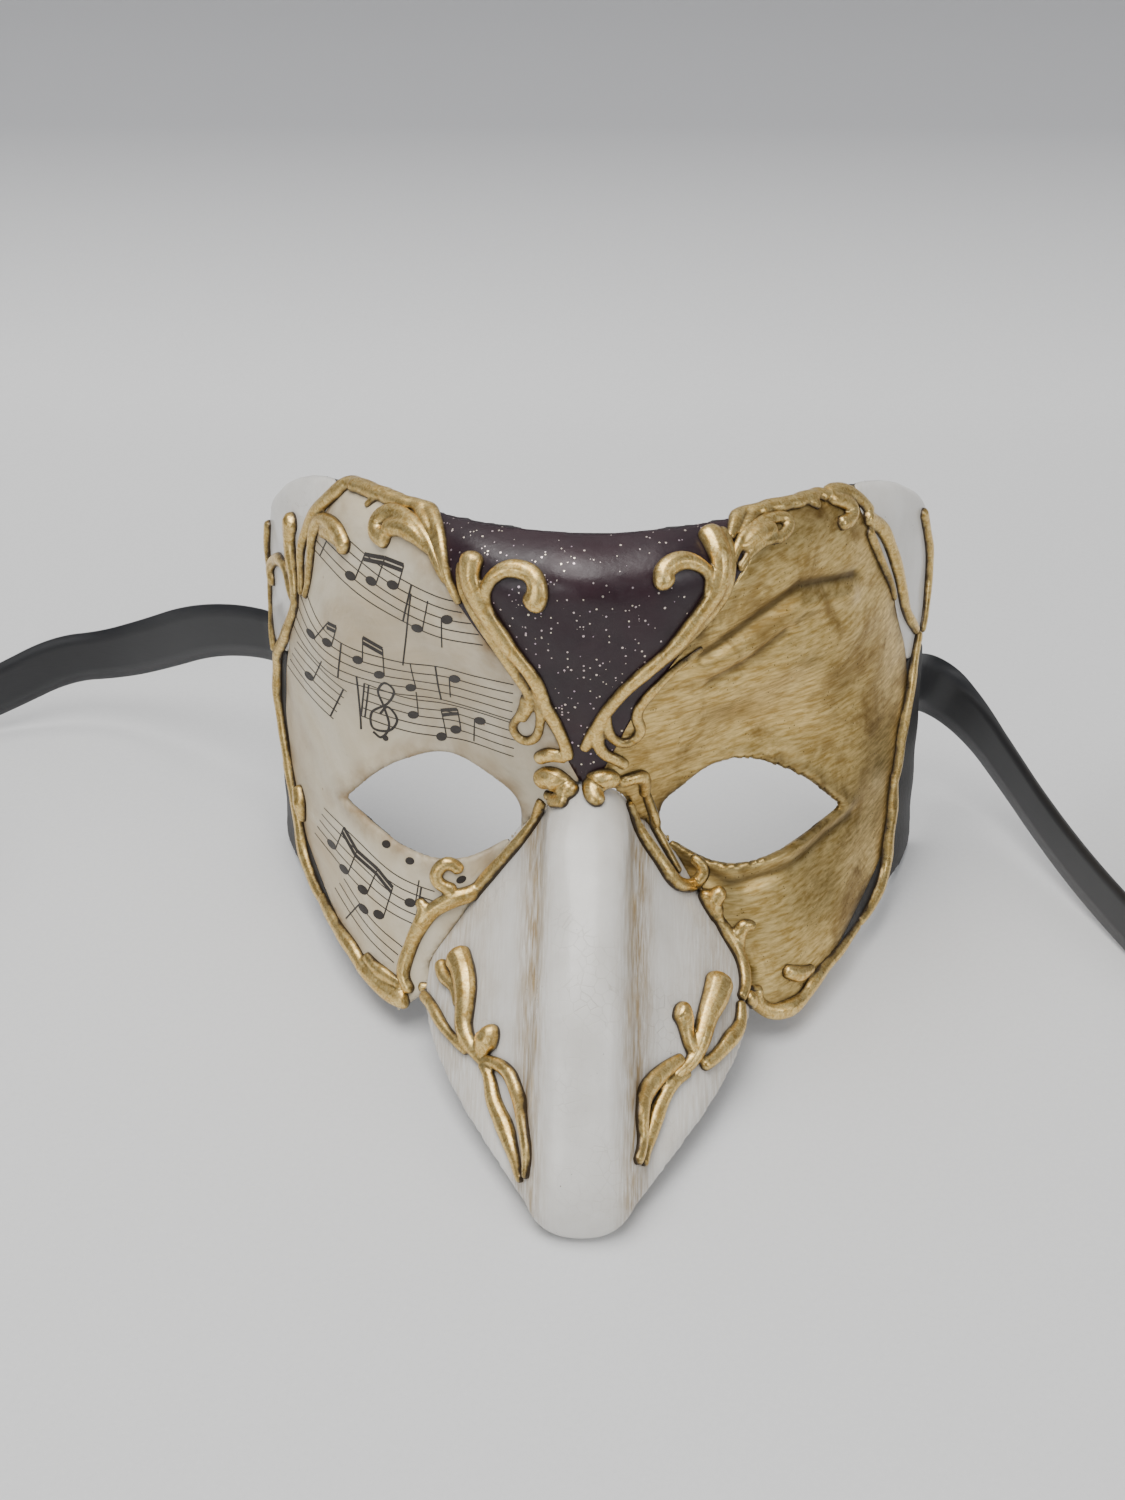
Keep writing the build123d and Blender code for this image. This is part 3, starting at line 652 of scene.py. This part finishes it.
# %% Scroll strokes
SCROLLS = {
    "left_brow_arch": [
        ((0.8, 1.6, 0.8), [(-67, 36, 32), (-67, 36, 41), (-64, 32, 50), (-59, 26, 57), (-51, 22, 62), (-43, 16, 64), (-36, 8, 61), (-31, -3, 55), (-28, -8, 46), (-26, -9, 42)]),
        ((0.6, 1.1, 0.7), [(-49, 15, 57), (-44, 13, 61), (-38, 8, 60), (-33, -3, 55), (-30, -7, 50), (-28, -8, 45)]),
        ((1.8, 1.2, 0.7), [(-53, 16, 47), (-56, 20, 51), (-60, 26, 52), (-63, 30, 48), (-64, 31, 40), (-67, 34, 32)]),
        ((1.0, 1.5, 0.8), [(-54, 17, 48), (-58, 22, 50), (-61, 26, 49)]),
    ],
    "left_comma_leaf": [
        ((1.7, 1.4, 0.7), [(-42, 5, 52), (-46, 8, 53), (-46, 9, 56), (-42, 7, 58), (-37, 2, 56), (-33, -3, 53), (-29, -8, 46)]),
        ((1.4, 1.7, 0.6), [(-44, 7, 54), (-40, 4, 55), (-36, 0, 54), (-32, -5, 51)]),
    ],
    "left_rim_border": [
        ((1.2, 1.3, 1.0), [(-79, 64, 44), (-80, 65, 38), (-80, 66, 30), (-80, 66, 21), (-79, 63, 11)]),
        ((1.3, 1.2, 0.7), [(-77, 59, 29), (-78, 61, 33), (-75, 53, 37), (-72, 46, 36), (-71, 43, 31), (-69, 39, 29)]),
    ],
    "left_side_border": [
        ((2.1, 1.4, 0.8), [(-68, 40, 50), (-70, 42, 46), (-70, 42, 41), (-69, 40, 36), (-69, 39, 30), (-71, 43, 25)]),
        ((1.0, 1.5, 1.3), [(-69, 39, 30), (-72, 45, 22), (-76, 55, 13), (-77, 59, 4), (-76, 58, -8), (-74, 54, -20)]),
        ((1.3, 1.6, 1.1), [(-75, 57, -14), (-74, 53, -22), (-72, 51, -30), (-70, 48, -37), (-67, 40, -42), (-64, 35, -44)]),
        ((1.4, 1.9, 1.0), [(-72, 50, -19), (-71, 48, -23), (-71, 48, -28)]),
    ],
    "left_forehead_scroll": [
        ((2.1, 1.2, 1.0), [(-23, -10, 53), (-24, -12, 48), (-21, -12, 42), (-17, -13, 35), (-11, -12, 27), (-8, -9, 19), (-5, -7, 11), (-4, -5, 7)]),
        ((0.6, 1.0, 0.8), [(-26, -9, 51), (-26, -10, 46), (-24, -11, 41), (-19, -12, 34), (-14, -11, 26), (-12, -9, 21), (-14, -6, 16)]),
        ((2.0, 1.4, 0.8), [(-12, -17, 43), (-10, -18, 46), (-11, -17, 50), (-16, -15, 51), (-20, -14, 48), (-21, -13, 44), (-19, -13, 40)]),
        ((0.6, 0.9, 0.6), [(-13, -9, 23), (-14, -7, 18), (-16, -4, 14), (-14, -3, 11), (-11, -5, 12), (-10, -8, 17), (-11, -11, 25)]),
        ((1.0, 1.4, 1.0), [(-11, -2, 6), (-8, -5, 8), (-4, -6, 7)]),
    ],
    "left_root_leaf": [
        ((1.3, 2.3, 1.6), [(-11, 0, 0), (-8, -3, 2), (-5, -4, 0), (-3, -6, -2)]),
        ((0.8, 1.3, 1.0), [(-10, 0, -3), (-7, -3, -4), (-4, -7, -3)]),
    ],
    "left_cheek_border": [
        ((1.2, 1.6, 1.7), [(-65, 37, -43), (-60, 28, -46), (-55, 20, -49), (-52, 15, -52), (-47, 9, -55), (-41, 5, -56)]),
        ((0.9, 1.3, 0.9), [(-52, 16, -49), (-49, 12, -51), (-45, 9, -52), (-42, 6, -53)]),
    ],
    "left_nose_scroll": [
        ((1.2, 1.5, 0.9), [(-40, 6, -54), (-42, 8, -50), (-40, 8, -42), (-36, 8, -35), (-31, 7, -31), (-25, 8, -29), (-20, 7, -23), (-15, 5, -16), (-12, 4, -10), (-10, 2, -5)]),
        ((1.1, 1.2, 1.1), [(-30, 7, -29), (-33, 7, -28), (-35, 7, -26), (-33, 8, -23), (-31, 8, -23), (-29, 8, -25)]),
        ((0.9, 1.5, 0.8), [(-39, 9, -32), (-37, 8, -34), (-38, 8, -38), (-41, 8, -43)]),
    ],
    "left_nostril_scroll": [
        ((2.7, 1.9, 0.8), [(-29, -1, -41), (-27, -6, -43), (-26, -10, -46), (-26, -13, -50), (-26, -15, -53), (-24, -19, -56), (-21, -23, -58)]),
        ((1.4, 1.1, 0.7), [(-33, 1, -44), (-32, -3, -46), (-29, -7, -47), (-28, -11, -50)]),
        ((0.9, 1.1, 0.8), [(-39, 5, -52), (-35, -4, -52), (-32, -11, -54), (-28, -15, -56), (-25, -19, -57)]),
        ((2.0, 2.2, 0.9), [(-21, -19, -50), (-20, -20, -52), (-21, -20, -54), (-22, -21, -57)]),
    ],
    "left_beak_leaf": [
        ((0.8, 1.5, 0.7), [(-23, -21, -57), (-18, -24, -57), (-15, -27, -58), (-13, -31, -61), (-12, -40, -63), (-11, -45, -67), (-11, -47, -72)]),
        ((0.8, 1.6, 0.8), [(-22, -21, -58), (-20, -24, -60), (-19, -28, -64), (-16, -33, -68), (-14, -39, -71), (-12, -46, -73)]),
    ],
    "right_brow_arch": [
        ((0.8, 1.5, 1.2), [(29, -5, 55), (31, 2, 59), (34, 8, 62), (39, 13, 63), (44, 16, 63), (48, 18, 61), (51, 18, 59)]),
        ((0.6, 1.2, 0.9), [(31, -3, 55), (34, 3, 58), (38, 8, 60), (43, 12, 61), (49, 15, 58)]),
        ((1.3, 1.4, 1.1), [(53, 17, 54), (55, 21, 54), (56, 23, 56), (54, 21, 58), (51, 19, 59), (51, 20, 60), (54, 23, 60), (57, 26, 58), (61, 29, 54)]),
        ((1.4, 1.4, 1.0), [(59, 26, 54), (64, 32, 50), (67, 37, 43), (70, 41, 35), (72, 46, 27), (75, 53, 21)]),
        ((1.0, 0.9, 0.6), [(61, 26, 51), (64, 30, 45), (66, 35, 38), (68, 39, 32)]),
    ],
    "right_comma_leaf": [
        ((0.8, 1.1, 0.7), [(29, -8, 50), (31, -5, 54), (33, -1, 56), (37, 4, 57), (41, 7, 57), (42, 6, 56), (40, 3, 54), (37, 0, 54), (33, -4, 52), (31, -7, 49)]),
        ((0.8, 1.6, 1.3), [(31, -5, 53), (35, 0, 55), (39, 3, 56)]),
    ],
    "right_rim_border": [
        ((1.1, 1.3, 1.0), [(76, 54, 50), (78, 59, 43), (79, 64, 33), (78, 62, 25), (77, 59, 19)]),
    ],
    "right_side_border": [
        ((1.1, 1.5, 1.2), [(76, 55, 21), (75, 53, 14), (74, 51, 8), (73, 49, 0), (72, 48, -8), (71, 48, -16), (71, 48, -23)]),
        ((1.2, 1.7, 1.1), [(71, 47, -12), (71, 49, -20), (70, 48, -29), (70, 47, -36), (68, 43, -41), (64, 33, -47)]),
    ],
    "right_forehead_scroll": [
        ((2.1, 1.3, 0.9), [(24, -4, 57), (26, -7, 54), (27, -9, 50), (26, -10, 46), (23, -11, 41), (19, -12, 36), (14, -12, 31), (9, -12, 26), (5, -10, 21), (2, -9, 16), (-1, -7, 9)]),
        ((0.9, 1.0, 0.7), [(27, -3, 57), (29, -6, 54), (29, -8, 49), (28, -9, 44), (25, -10, 40), (21, -11, 36), (17, -12, 32), (12, -12, 28)]),
        ((2.0, 1.4, 0.8), [(16, -15, 47), (15, -15, 50), (18, -13, 52), (21, -12, 52), (24, -11, 50), (25, -11, 48), (24, -11, 45)]),
        ((0.6, 1.0, 0.8), [(24, -8, 33), (20, -10, 30), (16, -10, 27), (12, -9, 23), (10, -8, 18), (11, -6, 14), (8, -6, 11), (5, -7, 13), (4, -9, 17), (4, -10, 21)]),
        ((0.9, 1.1, 0.9), [(4, -10, 19), (2, -8, 14), (3, -6, 9), (6, -5, 7), (8, -3, 5)]),
    ],
    "right_root_leaf": [
        ((1.1, 2.1, 1.3), [(3, -8, -3), (1, -6, -1), (2, -5, 2), (4, -4, 3), (6, -3, 1)]),
        ((1.0, 1.3, 0.9), [(6, -3, 1), (9, -1, 2), (12, 0, 1), (12, 3, -4)]),
    ],
    "right_nose_scroll": [
        ((0.9, 1.4, 1.0), [(8, 0, -5), (11, 1, -12), (15, 2, -19), (18, 3, -25), (22, 6, -27), (25, 8, -26), (26, 9, -23), (23, 10, -21)]),
        ((0.7, 1.0, 0.7), [(12, 2, -2), (14, 7, -10), (16, 7, -17), (20, 6, -24)]),
        ((1.3, 1.4, 1.0), [(26, 8, -28), (28, 7, -33), (31, 6, -38), (34, 4, -44), (35, 0, -48), (34, -4, -50)]),
        ((1.1, 1.7, 0.9), [(31, 7, -28), (29, 7, -29), (28, 7, -31), (30, 6, -34)]),
        ((0.8, 1.3, 0.8), [(38, 7, -37), (35, 7, -36), (34, 6, -39), (35, 6, -43)]),
    ],
    "right_cheek_border": [
        ((1.2, 1.8, 1.3), [(64, 34, -47), (60, 26, -50), (54, 17, -53), (49, 11, -56), (43, 6, -57), (38, 4, -55), (35, -2, -50)]),
        ((1.1, 1.5, 0.7), [(44, 9, -48), (48, 11, -50), (52, 15, -50)]),
        ((1.3, 1.4, 1.0), [(40, 5, -52), (38, 5, -52), (36, -1, -51)]),
    ],
    "right_nostril_scroll": [
        ((3.0, 1.8, 0.9), [(29, -4, -44), (28, -9, -47), (26, -13, -50), (25, -18, -54), (23, -21, -57), (19, -25, -59)]),
        ((2.4, 1.3, 0.9), [(19, -17, -46), (21, -17, -48), (22, -19, -53), (24, -20, -57)]),
        ((0.9, 1.5, 1.0), [(34, -4, -50), (34, -8, -54), (31, -12, -56), (28, -16, -58), (25, -20, -59)]),
    ],
    "right_beak_leaf": [
        ((1.0, 1.8, 0.9), [(21, -21, -56), (17, -25, -57), (13, -30, -59), (12, -37, -61), (12, -40, -66), (11, -45, -69)]),
        ((0.7, 1.5, 0.8), [(23, -22, -59), (19, -25, -60), (17, -28, -62), (15, -31, -65), (14, -36, -68), (12, -42, -71)]),
    ],
}


def smooth_line(points, step):
    """A Catmull-Rom line through the points, sampled about every step millimetres."""
    points = [Vector(p) for p in points]
    ends = [2 * points[0] - points[1]] + points + [2 * points[-1] - points[-2]]
    line = []
    for a, b, c, d in zip(ends, ends[1:], ends[2:], ends[3:]):
        count = max(2, round((c - b).length / step))
        for i in range(count):
            t = i / count
            line.append(0.5 * (2 * b + (c - a) * t + (2 * a - 5 * b + 4 * c - d) * t * t + (3 * b - a - 3 * c + d) * t ** 3))
    return line + [points[-1]]


def add_stroke(bm, radii, points):
    """A tapering round roll of gesso along the surface, half sunk, with domed ends."""
    line = smooth_line(points, 0.6)
    spots = [on_surface(worn(*p)) for p in line]
    for _ in range(5):
        middle = [(a[0] + b[0] + c[0]) / 3 for a, b, c in zip(spots, spots[1:], spots[2:])]
        spots = [spots[0]] + [on_surface(m) for m in middle] + [spots[-1]]
    count = len(spots)
    for _ in range(4):
        normals = [n for _, n in spots]
        spots = [(spot, (normals[max(i - 1, 0)] + n + normals[min(i + 1, count - 1)]).normalized())
                 for i, (spot, n) in enumerate(spots)]
    rings = []
    for i, (spot, normal) in enumerate(spots):
        share = i / (count - 1)
        radius = np.interp(share, (0, 0.16, 0.5, 1), (radii[0], radii[0] * 0.55 + radii[1] * 0.45, radii[1], radii[2]))
        from_end = min(i, count - 1 - i) * 0.6
        end_radius = radii[0] if i < count / 2 else radii[2]
        if from_end < end_radius:
            radius *= math.sqrt(max(0.06, 1 - (1 - from_end / end_radius) ** 2))
        radius *= 1.22 * (1 + 0.03 * math.sin(i * 0.35 + points[0][0])) * MM
        along = (spots[min(i + 1, count - 1)][0] - spots[max(i - 1, 0)][0]).normalized()
        side = along.cross(normal).normalized()
        centre = spot + normal * (SKIN * MM + radius * 0.15)
        rings.append([bm.verts.new(centre + (side * math.cos(a) * 1.15 + normal * math.sin(a)) * radius)
                      for a in (k * math.pi / 5 for k in range(10))])
    for a, b in zip(rings, rings[1:]):
        for j in range(10):
            bm.faces.new((a[j], a[(j + 1) % 10], b[(j + 1) % 10], b[j]))
    bm.faces.new(list(reversed(rings[0])))
    bm.faces.new(rings[-1])


def make_scroll(name, strokes):
    """One casting: its strokes welded together, softened, and measured for the gilder's wax."""
    bm = bmesh.new()
    for radii, points in strokes:
        add_stroke(bm, radii, points)
    bmesh.ops.recalc_face_normals(bm, faces=bm.faces)
    rough = bpy.data.meshes.new(name)
    bm.to_mesh(rough)
    bm.free()
    mesh = remeshed([rough], 0.00032, 2)
    mesh.name = name
    spots = coordinates_of(mesh)
    facing = normals_of(mesh)
    lifts, bends = [], []
    for spot, normal in zip(spots, facing):
        near, away, _, gap = surface_tree.find_nearest(Vector(spot))
        lifts.append((Vector(spot) - near).dot(away) / MM / 2.0)
    bend = 2 * ((spots - spread_over(mesh, spots, 1)) * facing).sum(1) / (0.32 * MM)
    bend = spread_over(mesh, bend, 3)
    set_attribute(mesh, "lift", lifts)
    set_attribute(mesh, "bend", bend)
    mesh.polygons.foreach_set("use_smooth", [True] * len(mesh.polygons))
    mesh.materials.clear()
    mesh.materials.append(gilt_material)
    piece = new_object(name + "_gesso", mesh)
    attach(piece, "root")
    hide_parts(name)
    print(name, len(mesh.vertices), "vertices, lift", round(float(np.mean(lifts)), 2), "bend", round(float(bend.min()), 3))


for name, strokes in SCROLLS.items():
    make_scroll(name, strokes)

# %% [markdown]
# The music sheet was torn and pasted at a slant: staves of five lines, notes with stems and beams, bar lines and one clef.
# Its print is thin ink lying on the paper, so it follows every swell under it.

# %% Printed music
STAFF_GAP = 2.3
paper_tree = tree_of(bpy.data.objects["music_paper"].data)


def front_spot(across, high):
    """The paper's surface straight behind a point of the front view, or None where there is no paper."""
    start = worn(across, -60, high)
    heading = (worn(across, 60, high) - start).normalized()
    spot, normal, _, _ = paper_tree.ray_cast(start, heading)
    if spot is None or normal.dot(heading) > 0:
        return None
    return spot, normal


def ink_line(bm, points, width, step=0.8):
    """A printed line of some width over the paper, broken where the paper ends."""
    flat = [Vector((px, ph, 0)) for px, ph in points]
    line = smooth_line(flat, step)
    last = None
    for i, p in enumerate(line):
        along = (line[min(i + 1, len(line) - 1)] - line[max(i - 1, 0)]).normalized()
        across = Vector((-along.y, along.x)) * width / 2
        pair = [front_spot(p.x + s * across.x, p.y + s * across.y) for s in (-1, 1)]
        if None in pair or (pair[0][0] - pair[1][0]).length > 3 * width * MM:
            last = None
            continue
        here = [bm.verts.new(spot + normal * 0.05 * MM) for spot, normal in pair]
        if last:
            bm.faces.new((last[0], here[0], here[1], last[1]))
        last = here


def ink_dot(bm, px, ph, wide, tall, slant):
    """A filled note head, a leaning oval."""
    ring = []
    middle = front_spot(px, ph)
    if middle is None:
        return
    for k in range(12):
        a = k * math.pi / 6
        u, v = wide / 2 * math.cos(a), tall / 2 * math.sin(a)
        found = front_spot(px + u * math.cos(slant) - v * math.sin(slant), ph + u * math.sin(slant) + v * math.cos(slant))
        if found is None or (found[0] - middle[0]).length > 3 * MM:
            return
        ring.append(bm.verts.new(found[0] + found[1] * 0.06 * MM))
    centre = bm.verts.new(middle[0] + middle[1] * 0.06 * MM)
    for k in range(12):
        bm.faces.new((centre, ring[k], ring[(k + 1) % 12]))


def along_stave(points, share, step):
    """A point on a stave: share of its length from the left, step gaps above its middle line."""
    line = smooth_line([Vector((px, ph, 0)) for px, ph in points], 1)
    i = min(int(share * (len(line) - 1)), len(line) - 2)
    heading = (line[i + 1] - line[i]).normalized()
    up_page = Vector((-heading.y, heading.x, 0))
    spot = line[i] + up_page * step * STAFF_GAP
    return spot, heading, up_page


def print_stave(bm, points, notes=(), bars=(), reach=2):
    """Five lines, then note heads (share, step, stem length in gaps, beam to the next) and bar lines."""
    for n in range(-reach, reach + 1):
        shifted = []
        for i, (px, ph) in enumerate(points):
            a, b = Vector(points[max(i - 1, 0)]), Vector(points[min(i + 1, len(points) - 1)])
            heading = (b - a).normalized()
            shifted.append((px - heading.y * n * STAFF_GAP, ph + heading.x * n * STAFF_GAP))
        ink_line(bm, shifted, 0.26)
    for share in bars:
        low, high = along_stave(points, share, -2)[0], along_stave(points, share, 2)[0]
        ink_line(bm, [low.xy, high.xy], 0.45)
    tops = []
    for share, step, stem, beamed in notes:
        spot, heading, up_page = along_stave(points, share, step)
        slant = math.atan2(heading.y, heading.x)
        ink_dot(bm, spot.x, spot.y, 2.9, 2.1, slant + 0.45)
        if stem:
            side = heading * (1.25 if stem > 0 else -1.25)
            top = spot + side + up_page * stem * STAFF_GAP
            ink_line(bm, [(spot + side).xy, top.xy], 0.32)
            if tops and tops[-1][1]:
                for drop in (0, 1.3):
                    shift = up_page * (-drop if stem > 0 else drop)
                    ink_line(bm, [(tops[-1][0] + shift).xy, (top + shift).xy], 0.95)
            tops.append((top, beamed))
        else:
            tops.append((spot, False))


bm = bmesh.new()
print_stave(bm, [(-64, 50), (-54, 45), (-44, 41), (-32, 38), (-22, 38)],
            [(0.14, 1, -3, False), (0.3, -1, 3, True), (0.42, 0, 3, True), (0.54, 1, 2.4, False), (0.7, -2, 3.2, False), (0.84, 0, -3, False)], (0.62,))
print_stave(bm, [(-72, 34), (-66, 25), (-58, 21), (-44, 20), (-30, 21), (-16, 20)],
            [(0.2, 0, 3, True), (0.28, 1, 2.4, False), (0.42, 1, 2.6, True), (0.5, 0, 3, False), (0.62, -1, 3, False), (0.8, 1, -2.4, False)],
            (0.35, 0.73))
print_stave(bm, [(-52, 12), (-40, 10), (-28, 11), (-16, 10)],
            [(0.34, 0, 3, False), (0.5, -2, 3, True), (0.62, -1, 2.6, False), (0.8, 1, -2.8, False)], (0.0, 0.04))
print_stave(bm, [(-72, 16), (-64, 12), (-58, 9)], [(0.4, 0, 3, False)], (0.98,))
print_stave(bm, [(-66, -24), (-56, -28), (-46, -32), (-36, -34)],
            [(0.16, -1, 3, True), (0.34, -2, 3, True), (0.52, -2, 3.2, True), (0.68, -3, 3.6, False), (0.86, 0, 2.6, False)], (0.93,))
print_stave(bm, [(-60, -36), (-52, -42), (-44, -46)], [(0.4, 1, -3, False)], (), 1)
clef = [(-50, 4), (-48, 3), (-46, 6), (-47, 11), (-48, 15), (-46, 18), (-44, 16), (-46, 12), (-50, 9), (-50, 5), (-46, 5), (-44, 8), (-46, 11), (-48, 9)]
ink_line(bm, clef, 0.6, 0.4)
ink_line(bm, [(-53, 4), (-53, 18)], 0.5)
ink_line(bm, [(-38, 42), (-41, 24)], 0.4)
ink_dot(bm, -47, 3, 1.5, 1.5, 0)
for px, ph in ((-47, -20), (-41, -22), (-34, -23), (-29, -25)):
    ink_dot(bm, px, ph - 1.5, 2.4, 1.7, 0.4)
ink_piece = piece_from(bm, "music_ink", ink_material, (), smooth=False)
